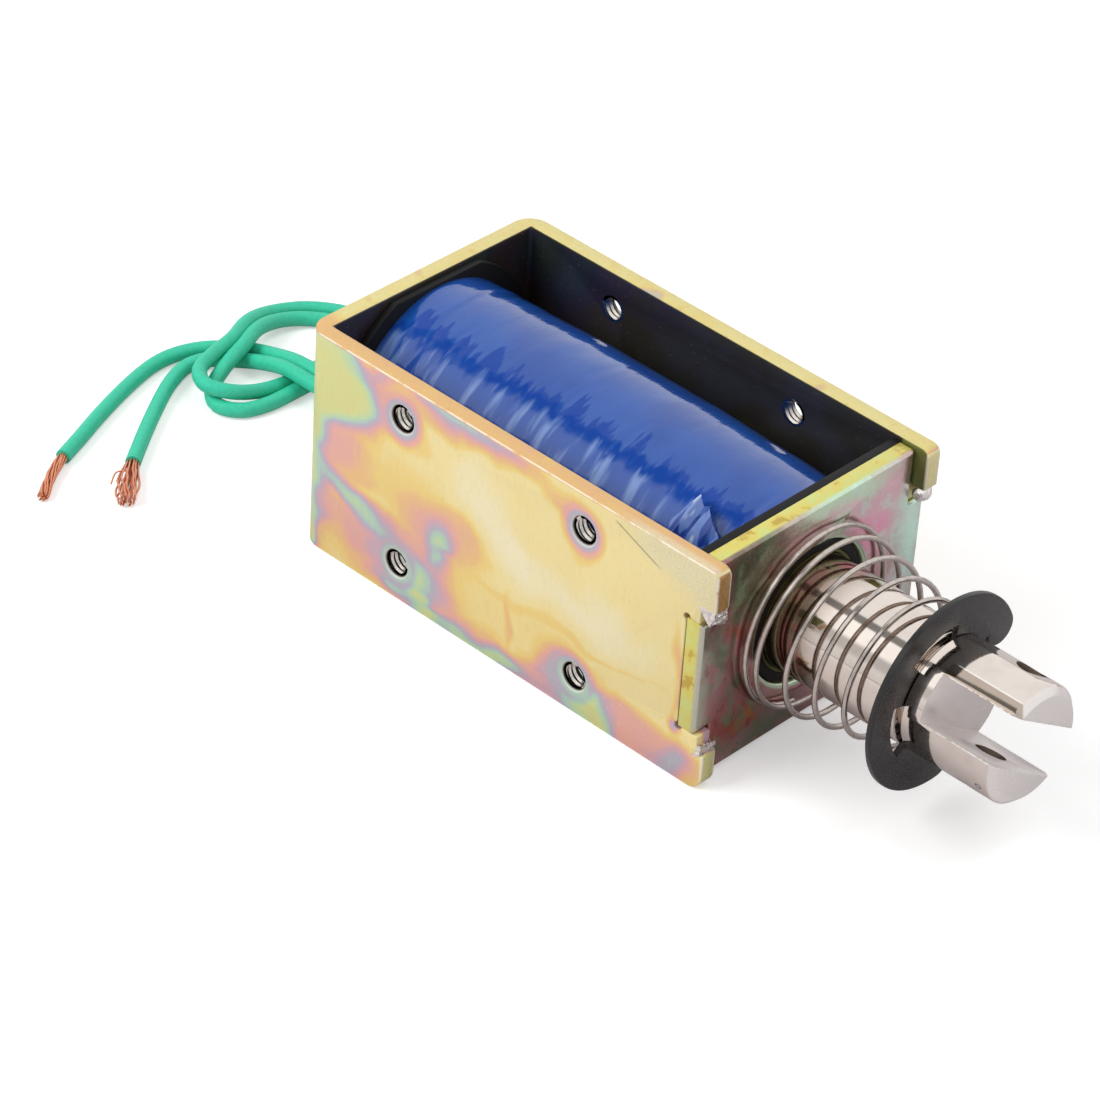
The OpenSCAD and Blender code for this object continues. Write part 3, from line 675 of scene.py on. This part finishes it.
# %% [markdown]
# ## Plastics, rubber and film
# The spool and the grommet are black and nearly matt, and the E-clip's black oxide shines a little more.
# The leads' jackets are a soft green vinyl. The coil is wrapped in blue polyester film, thin and glossy,
# with a darker band and paler streaks painted on it as reflections.

# %% Plastics
def plastic(name, colour, rough, scale=3.0, shade=0.3, strength=0.1, shine=0.5):
    return plain(name, colour, rough, 0.15, scale, shade, strength, 0.65, 3.0, Specular_IOR_Level=shine)


spool_plastic = plastic("spool_plastic", (17, 16, 17), 0.5, shine=0.3)
grommet_rubber = plastic("grommet_rubber", (30, 30, 30), 0.6)
nylon = plastic("nylon", (226, 224, 214), 0.4)
black_oxide = plastic("black_oxide", (21, 17, 19), 0.20, scale=6.0, strength=0.15, shine=0.6)
lead_jacket = plastic("lead_jacket", (56, 200, 164), 0.36, scale=1.5, shade=0.10)

# %% Blue film
blue_film, start = material("blue_film")
place = in_mm(start)
x, y, z = parts_of(place)
tone = noise(place, 0.12, 2.0, 0.5)
base = tinted(start, (17, 70, 154), (23, 80, 164), tone.step(0.35, 0.65))
streaks = place.mapped(Rotation=(0, 0, math.radians(10)), Scale=(1.0, 0.16, 0.16))
crease = noise(streaks, 0.55, 2.5, 0.55)
teeth = noise(streaks, 0.7, 2.2, 0.55)
# Painted reflections: a darker band with a jagged edge, paler streaks by the near wall and a paler flap edge
# stand for the studio mirrored in the film.
dark_reflection_band = (y * -1 + (teeth - 0.5) * 12.0).step(5.8, 6.6)
base = base.tint((16, 62, 152), dark_reflection_band * 0.8)
streak_sheen_side = (y * -1 + (teeth - 0.5) * 5.0).step(7.6, 9.0)
base = base.tint((138, 166, 214), crease.step(0.50, 0.68) * streak_sheen_side * 0.75)
base = base.tint((70, 108, 176), streak_sheen_side * 0.25)
flap_sheen = (x - back_mm).step(62.0, 62.5) * (y * -1).step(8.8, 9.4)
flap_sheen = flap_sheen * (teeth - crease * 0.3).step(0.28, 0.34)
base = base.tint((132, 154, 206), flap_sheen * 0.7)
swell = noise(place.scaled(1.0, 0.6, 0.6), 0.28, 3.0, 0.5) * 10.0
finish_material(start, noise(streaks, 1.4, 3.0, 0.6) + noise(place, 1.6, 3.0) * 0.4 + swell, 0.12, 0.0002,
                Base_Color=base, Roughness=crease * 0.06 + 0.09, Specular_IOR_Level=0.3,
                Coat_Weight=dark_reflection_band * -0.75 + streak_sheen_side * 0.6 + 0.8, Coat_Roughness=0.04)

# %% Loose film
# The loose end has let go of the coil and shows its folds. Their pale and dark facets are painted, as
# reflection and shade.
loose_film, start = material("loose_film")
place = in_mm(start)
facet_shading = noise(place.mapped(Rotation=(0, 0, 0.5), Scale=(1.0, 0.3, 0.3)), 0.7, 1.0)
# Painted reflection and shade: pale and dark facets from one drawn-out noise.
base = tinted(start, (96, 128, 196), (30, 66, 152), facet_shading.step(0.50, 0.54))
base = base.tint((176, 194, 226), facet_shading.step(0.40, 0.36))
finish_material(start, noise(place, 0.9, 3.0, 0.6), 0.15, 0.0002, Base_Color=base,
                Roughness=facet_shading * 0.1 + 0.1, Specular_IOR_Level=0.5, Coat_Weight=0.5, Coat_Roughness=0.04)
print("plastics and film made")

# %% [markdown]
# ## Working by hand
# Most pieces start from a solid or a primitive and are shaped in edit mode. These helpers open a mesh,
# select its edges by their place, and finish it with a modifier that is applied.

# %% Picking and finishing
def pick_edges(obj, test):
    """In edit mode, selects the edges whose two ends pass the test together."""
    bpy.ops.mesh.select_all(action="DESELECT")
    bpy.ops.mesh.select_mode(type="EDGE")
    mesh = bmesh.from_edit_mesh(obj.data)
    for e in mesh.edges:
        e.select = bool(test(e.verts[0].co, e.verts[1].co))
    bmesh.update_edit_mesh(obj.data)


def fix(obj, kind, **settings):
    """Adds a modifier with these settings and applies it."""
    hold(obj)
    made = obj.modifiers.new(kind.lower(), kind)
    for name, value in settings.items():
        setattr(made, name, value)
    bpy.ops.object.modifier_apply(modifier=made.name)


def edit(obj):
    """Opens a mesh for editing, with all of it selected."""
    hold(obj)
    bpy.ops.object.mode_set(mode="EDIT")
    bpy.ops.mesh.select_all(action="SELECT")


# %% Solids with soft edges
def copied(solid, name):
    """A copy of a solid, with its triangles merged to flat faces."""
    obj = linked(name, node[solid].data.copy())
    obj.data.materials.clear()
    edit(obj)
    bpy.ops.mesh.remove_doubles(threshold=0.000002)
    bpy.ops.mesh.dissolve_limited(angle_limit=math.radians(0.4))
    bpy.ops.object.mode_set(mode="OBJECT")
    return obj


def softened(obj, solid, body, made, width, segments=2, angle=30):
    """Rounds a copy's sharp edges, gives it its material, and lets it stand for its solid."""
    fix(obj, "BEVEL", width=width, segments=segments, limit_method="ANGLE",
        angle_limit=math.radians(angle), use_clamp_overlap=False)
    settle(obj, obj.name, body, made, solid=solid)


# %% [markdown]
# ## Frame, plate and bobbin
# The frame is one strip of 2.4 mm steel bent to a U. Tumbling rounds its edges by a tenth or two of a
# millimetre, and those edges catch the light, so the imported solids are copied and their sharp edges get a
# narrow bevel. A punch has crushed the lower ends of the two upper ears over the plate, so those ends are
# cut away and come back as pieces of their own. The plate was blanked from one side, which draws its front
# edges down to a roll of half a millimetre, and its hole is countersunk.

# %% Frame
def at_back(x, y, z):
    """A place in millimetres from the back face, the axis's plane and the ground."""
    return Vector((back_x + x / 1000, y / 1000, z / 1000))


def block(low, high):
    """A box between two corners that are given as at_back takes them."""
    bpy.ops.mesh.primitive_cube_add(size=1, location=(at_back(*low) + at_back(*high)) / 2)
    bpy.context.object.scale = at_back(*high) - at_back(*low)
    freeze()
    return bpy.context.object


tab_top = axis_mm + 7.85
frame_end = ear_mm - back_mm + 1
frame_shell = copied("u_frame", "frame_shell")
for low, high in (((67.5, -21, tab_top - 0.2), (frame_end, -17.2, tab_top + 2.6)),
                  ((67.4, 17.2, tab_top - 0.2), (frame_end, 21, tab_top + 2.6))):
    cutter = block(low, high)
    fix(frame_shell, "BOOLEAN", object=cutter, operation="DIFFERENCE", solver="EXACT")
    bpy.data.objects.remove(cutter)
softened(frame_shell, "u_frame", "body", frame_steel, 0.00015)

# %% Plate and spool
def off_axis(p):
    """How far a point is from the plunger's axis."""
    return math.hypot(p.y, p.z - axis_z)


pole_plate = copied("front_plate", "pole_plate")
edit(pole_plate)
for nearest, furthest, size, segments in ((0, plate_hole_r + 0.0001, 0.0006, 2),
                                          (plate_hole_r + 0.002, 1, 0.0005, 4)):
    pick_edges(pole_plate, lambda a, b: all(
        p.x > plate_x - 0.00001 and nearest < off_axis(p) < furthest for p in (a, b)))
    bpy.ops.mesh.bevel(offset=size, segments=segments, clamp_overlap=False)
softened(pole_plate, "front_plate", "body", plate_steel, 0.00012, 2, 40)
softened(copied("bobbin", "spool"), "bobbin", "body", spool_plastic, 0.00012)

# %% [markdown]
# ## Staked ends of the ears
# The frame is closed by staking: a punch drives the metal beside each tab over the plate. It left a torn
# wedge at the near upper ear, a bar of two ridges at each lower ear and a round lump at the far upper ear.
# Each starts as simple solids that a voxel remesh melts together, and is then roughened along its normals
# with ridged noise, as crushed metal is.

# %% Crushed metal
def crushed(name, parts, size, deep, scale):
    """Melts the parts into one lump and roughens it."""
    hold(parts[0])
    for part in parts:
        part.select_set(True)
    if len(parts) > 1:
        bpy.ops.object.join()
    obj = bpy.context.object
    fix(obj, "REMESH", mode="VOXEL", voxel_size=size)
    normals = [v.normal.copy() for v in obj.data.vertices]
    for v, normal in zip(obj.data.vertices, normals):
        soft = rough_field.noise(v.co * scale * 1000)
        ridge = abs(rough_field.noise(v.co * scale * 2300))
        v.co = v.co + normal * ((soft * 0.6 - ridge + 0.2) * deep)
    settle(obj, name, "body", crushed_zinc, 40)


# %% Wedge on the near upper ear
wedge = block((67.4, -20.0, tab_top + 0.25), (69.7, -17.6, tab_top + 2.75))
edit(wedge)
for start_x, lean in ((67.5, (-0.70, -0.16, -0.70)), (69.7, (0.86, -0.20, -0.46))):
    bpy.ops.mesh.select_all(action="SELECT")
    bpy.ops.mesh.bisect(plane_co=at_back(start_x, -20.0, tab_top + 1.9), plane_no=lean, use_fill=True,
                        clear_outer=True)
crushed("stake_near_upper", [wedge], 0.00008, 0.00026, 0.7)

# %% Bars on the lower ears
def bar_stake(name, side):
    """Two ridges across the ear's thickness on a low block, leaning a little."""
    low = axis_mm - 8.45
    parts = [block((67.1, side * 18.7 - 1.3, low - 3.0), (68.5, side * 18.7 + 1.3, low - 1.3))]
    for k in (0, 1):
        bpy.ops.mesh.primitive_cylinder_add(vertices=20, radius=0.00042, depth=0.0028,
                                            location=at_back(68.95, side * 18.6, low - 1.75 - 0.98 * k),
                                            rotation=(math.pi / 2 + side * 0.14, 0, 0))
        freeze()
        parts.append(bpy.context.object)
    crushed(name, parts, 0.00008, 0.00014, 0.9)


bar_stake("stake_near_lower", -1)
bar_stake("stake_far_lower", 1)

# %% Lump on the far upper ear
bpy.ops.mesh.primitive_ico_sphere_add(subdivisions=4, radius=0.00112,
                                      location=at_back(68.65, 18.7, tab_top + 1.5))
lump = bpy.context.object
lump.scale = (1.0, 1.28, 1.12)
freeze()
neck = block((67.5, 18.0, tab_top + 1.5), (68.6, 19.8, tab_top + 2.75))
crushed("stake_far_upper", [lump, neck], 0.00009, 0.00010, 0.8)

# %% [markdown]
# ## Threads
# The eight holes are tapped for M4, with a pitch of 0.7 mm. A thread is a small diamond section swept round
# the hole's axis as it rises, which is what the Screw modifier does. Its outer half is buried in the wall.
# One thread is made, cut flush with the wall, and copied into each hole.

# %% One thread
thread_pitch, thread_mid_r, thread_half = 0.0007, 0.00182, 0.00031
bpy.ops.mesh.primitive_circle_add(vertices=4, radius=thread_half,
                                  location=(thread_mid_r, 0, 0), rotation=(math.pi / 2, 0, 0))
thread = bpy.context.object
freeze()
fix(thread, "SCREW", axis="Z", angle=math.tau, screw_offset=thread_pitch, iterations=5, steps=36,
    use_normal_calculate=True)
edit(thread)
bpy.ops.mesh.remove_doubles(threshold=0.000001)
bpy.ops.mesh.fill_holes(sides=0)
bpy.ops.mesh.select_all(action="SELECT")
bpy.ops.mesh.normals_make_consistent(inside=False)
bpy.ops.object.mode_set(mode="OBJECT")
thread_from = 0.0005
for v in thread.data.vertices:
    v.co.z = min(max(v.co.z, thread_from), thread_from + wall_t - 0.00036)

# %% A thread in each hole
holes = [(back_x + hole_mid + i * hole_pitch_x / 2, side, axis_z + k * hole_pitch_z / 2)
         for side in (-1, 1) for i in (-1, 1) for k in (-1, 1)]
threads = [thread] + [linked("thread", thread.data.copy()) for _ in holes[1:]]
for i, (one, (x, side, z)) in enumerate(zip(threads, holes)):
    spin = Matrix.Rotation(math.radians(-90 * side), 4, "X") @ Matrix.Rotation(0.7 * i, 4, "Z")
    one.matrix_world = Matrix.Translation((x, side * (wall_y - wall_t - 0.00048), z)) @ spin
    settle(one, "thread_%d" % (i + 1), "body", thread_steel, 50)

# %% [markdown]
# ## Taped coil
# The winding is wrapped in blue film. Film that is pulled over a barrel gathers in creases that run round
# the coil, and at the back a second, narrower turn lies over it. A fine cylinder is cut along its length,
# shaped to the barrel, and then pushed in and out along a few dozen creases, vertex by vertex, as one would
# with a sculpting brush.

# %% Film on the coil
film_lo, film_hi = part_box("tape_wrap")
film_x0, film_long = film_lo[0], film_hi[0] - film_lo[0]
film_r = film_hi[2] - axis_z


def eased(t):
    """Starts and ends softly between 0 and 1."""
    return t * t * (3 - 2 * t)


def through(points, t, shape=float):
    """Follows the points (t, value), straight or with a shape between each two."""
    for (t0, v0), (t1, v1) in zip(points, points[1:]):
        if t <= t1:
            return v0 + (v1 - v0) * shape((t - t0) / (t1 - t0))
    return points[-1][1]


def make_creases(seed, count, starts, ends, wide, high):
    """Creases round the coil: each has its place along it, lean, width, height, start and end."""
    chance = random.Random(seed)
    return [{"x": (i + chance.uniform(0.15, 0.85)) / count, "lean": chance.uniform(-1.4, -0.3),
             "wide": chance.uniform(*wide), "high": chance.uniform(*high),
             "from": chance.uniform(*starts), "to": chance.uniform(*ends)} for i in range(count)]


# Angles are in degrees from the far side over the top, lengths in mm. Long faint creases, short strong ones
# by the near wall, and some below
creases = (make_creases(7, 12, (50, 80), (150, 230), (0.35, 0.8), (-0.03, 0.02))
           + make_creases(11, 24, (97, 117), (170, 220), (0.45, 0.95), (-0.26, 0.10))
           + make_creases(5, 16, (300, 330), (20, 40), (0.4, 0.8), (-0.1, 0.08)))
barrel = ((0, 0.7), (0.15, 0.35), (0.35, 0), (0.62, 0), (0.85, 0.35), (1, 0.7))
turn_end, turn_step = 4.6, 0.12


def creased(crease, along, angle):
    """How far this crease lifts the film at a place."""
    turn = (angle - crease["from"] + 180) % 360 - 180
    span = (crease["to"] - crease["from"]) % 360
    if not -12 < turn < span + 12:
        return 0.0
    fade = eased(min(1, (turn + 12) / 24) * min(1, (span + 12 - turn) / 24))
    wide = crease["wide"] * (0.3 + 0.7 * fade)
    off = along - crease["x"] * film_long * 1000 - crease["lean"] * turn / 40
    return crease["high"] * fade * math.exp(-(off / wide) ** 2) if abs(off) < 3 * wide else 0.0


bpy.ops.mesh.primitive_cylinder_add(vertices=300, radius=film_r, depth=film_long, end_fill_type="NOTHING",
                                    location=(film_x0 + film_long / 2, 0, axis_z),
                                    rotation=(0, math.pi / 2, 0))
wrap = bpy.context.object
freeze()
edit(wrap)
pick_edges(wrap, lambda a, b: abs(a.x - b.x) > 0.001)
bpy.ops.mesh.subdivide_edgering(number_cuts=160)
bpy.ops.object.mode_set(mode="OBJECT")
for v in wrap.data.vertices:
    x, y, z = v.co.x - film_x0, v.co.y, v.co.z - axis_z
    along, angle = x * 1000, math.degrees(math.atan2(z, y)) % 360
    push = sum(creased(crease, along, angle) for crease in creases)
    push += 0.03 * rough_field.noise(Vector((along * 0.35, angle * 0.02, 3)))
    torn = 0.4 * math.sin(angle * 0.07) + 0.4 * rough_field.noise(Vector((angle * 0.05, 1.7, 0)))
    push -= turn_step * min(1, max(0, (along - turn_end - torn) / 0.35))
    r = film_r + 0.001 * min(push - through(barrel, x / film_long, eased), 0.1)
    share = r / math.hypot(y, z)
    v.co = (v.co.x, y * share, axis_z + z * share)
fix(wrap, "SOLIDIFY", thickness=0.0002, offset=-1)
settle(wrap, "film_wrap", "body", blue_film, 60, "tape_wrap")

# %% Loose end of the film
# A small sheet on the barrel by the near wall, torn ragged above and standing off in sharp folds. Its lists
# run along the sheet: the angle at which it is torn, in degrees, and how high it stands, in mm.
torn_at = ((0, 43), (0.10, 35), (0.20, 28.5), (0.34, 32), (0.40, 30), (0.62, 36), (0.80, 40), (1, 46))
folds = ((0, 0.2), (0.20, 1.4), (0.33, 0.3), (0.42, 1.5), (0.60, 0.9), (0.70, 0.1), (0.85, 1.3), (1, 0.2))
falls = ((0, 1), (0.35, 0.75), (0.8, 0.6), (1, 0.1))
tail_lo, tail_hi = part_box("tape_tail")
bpy.ops.mesh.primitive_grid_add(x_subdivisions=110, y_subdivisions=60, size=1)
tail = bpy.context.object
for v in tail.data.vertices:
    u, w = v.co.x + 0.5, v.co.y + 0.5
    high = through(folds, min(1, max(0, u + 0.16 * (w - 0.4)))) * through(falls, w)
    torn = through(torn_at, u)
    turn = math.radians(torn + (60 - torn) * w)
    r = film_r + min(0.0001 + 0.001 * high, 0.0015)
    x = tail_lo[0] + (tail_hi[0] - tail_lo[0]) * (0.02 + 0.96 * u)
    v.co = (x, -r * math.sin(turn), axis_z + r * math.cos(turn))
fix(tail, "SOLIDIFY", thickness=0.00012, offset=0)
settle(tail, "film_tail", "body", loose_film, 12, "tape_tail")

# %% [markdown]
# ## Return spring
# The spring is wound left-handed from 0.75 mm wire and narrows towards the clip. Its first turn lies closed
# on the plate, then it opens to an even pitch. A curve through points on that cone, with a round bevel,
# gives the wire, and it is made a mesh once it has its shape.

# %% Spring
wire_r, wide_r, narrow_r = 0.000375, 0.0124, 0.0087
spring_from, spring_to = plate_x + wire_r + 0.00002, clip_x - wire_r - 0.00002
closed, open_turns, end_turns, lay = 1.0, 4.5, 0.6, 0.0008625
open_length = spring_to - spring_from - lay * (closed + end_turns)


def spring_point(u):
    """A point after u turns. Its closed turns rise by lay, the open ones share the rest."""
    x = (spring_from + lay * min(u, closed) + open_length * max(0, min(u - closed, open_turns)) / open_turns
         + lay * max(0, u - closed - open_turns))
    r = wide_r + (narrow_r - wide_r) * (x - spring_from) / (spring_to - spring_from)
    a = math.radians(260 - 360 * u)
    return Vector((x, r * math.cos(a), axis_z + r * math.sin(a)))


turns = closed + open_turns + end_turns
spring = tube_along("spring", [spring_point(turns * i / 300) for i in range(301)], wire_r, 4)
settle(spring, "cone_spring", "body", spring_wire, 60, "return_spring")
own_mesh(spring)

# %% [markdown]
# ## Plunger and clip
# The plunger is turned and nickel plated, and its end is slotted and cross drilled to make a clevis. The
# E-clip is stamped from sheet and blackened, so its edges are rounded on both faces.

# %% Plunger, clip and grommet
for solid, name, body, slot, made, width, segments in (
        ("plunger", "clevis_plunger", "plunger", "nickel", nickel_plate, 0.00012, 2),
        ("e_clip", "ring_clip", "clip", "black_oxide", black_oxide, 0.00018, 3),
        ("lead_grommet", "lead_seal", "body", "black_rubber", grommet_rubber, 0.00025, 3)):
    softened(copied(solid, name), solid, body, made, width, segments)

# %% Materials of the leads and of the solids that stay
for obj, made in ((node["guide_tube"], tube_brass), (node["fixed_core"], core_iron),
                  (node["stop_washer"], nylon), (node["push_rod"], rod_polish),
                  (node["coil_winding"], winding_copper), (lead_a, lead_jacket), (lead_b, lead_jacket)):
    wear(obj, made)

# %% [markdown]
# ## Bared copper
# Each lead's copper is a bundle of fine strands. One bundle has opened like a brush and has a strand bent
# away, the other is twisted tight. One helper makes a strand from the bundle's line, the strand's place in
# the bundle, the twist and the splay.

# %% Strands
strand_r = 0.00014


def strand(name, line, spot, twist, swell, seed):
    """One wire of a bundle: it lies at spot = (distance, angle) from the line, and turns round it."""
    points = smooth_between(line, 8)
    last = len(points) - 1
    out = []
    for i, p in enumerate(points):
        t = (points[min(i + 1, last)] - points[max(i - 1, 0)]).normalized()
        side = t.cross(Vector((0, 0, 1))).normalized()
        u = i / last
        a = spot[1] + twist * u + 0.25 * rough_field.noise(Vector((u * 4, seed, 0)))
        wander = 1 + 0.3 * rough_field.noise(Vector((u * 3, seed, 5))) * min(1, 3 * u)
        d = spot[0] * (1 + swell * math.sin(2.4 * u)) * wander
        q = p + (side * math.cos(a) * (1 + 0.35 * swell) + side.cross(t) * math.sin(a)) * d
        q.z = max(q.z, strand_r + 0.00002)
        out.append(q)
    return tube_along(name, out[:last + 1 - int(3 * (seed * 7.3 % 1))], strand_r)


def bundle(name, line, seed, twist, swell, stray=None):
    """Rings of strands round the line, joined to one piece, with a stray one if its line is given."""
    chance = random.Random(seed)
    made = []
    for ring, count in ((0, 1), (1, 6), (2, 11)):
        for k in range(count):
            spot = (ring * strand_r * 1.95, math.tau * (k + chance.uniform(-0.12, 0.12)) / count)
            made.append(strand(name, line, spot, twist + chance.uniform(-0.2, 0.2),
                               swell * chance.uniform(0.6, 1.2), chance.uniform(0, 50)))
    if stray:
        made.append(tube_along(name, smooth_between(stray, 6), strand_r * 0.8))
    hold(made[0])
    for obj in made:
        obj.select_set(True)
    bpy.ops.object.join()
    return bpy.context.object


strand_route_a = [(-25.2, -37.2, 1.15), (-23.5, -39.3, 1.25), (-21.9, -41.1, 1.3), (-20.4, -42.6, 1.3),
                  (-19.2, -43.6, 1.25)]
strand_route_b = [(-32.2, -43.1, 1.1), (-31.0, -45.4, 1.0), (-29.8, -47.4, 0.95), (-28.6, -49.2, 0.9),
                  (-27.4, -50.8, 0.9)]
stray_wire = laid([(-23.9, -38.6, 1.2), (-23.9, -40.2, 1.9), (-24.0, -41.3, 2.0), (-23.4, -42.6, 1.2)])
copper_a = bundle("copper_a", laid(strand_route_a), 3, 0.9, 0.9, stray_wire)
copper_b = bundle("copper_b", laid(strand_route_b), 5, 2.6, 0.1)
for obj, name, solid in ((copper_a, "copper_a", "lead_strand_a"), (copper_b, "copper_b", "lead_strand_b")):
    settle(obj, name, "body", bare_copper, 60, solid)

# %% View settings
bpy.context.scene.view_settings.view_transform = "Standard"
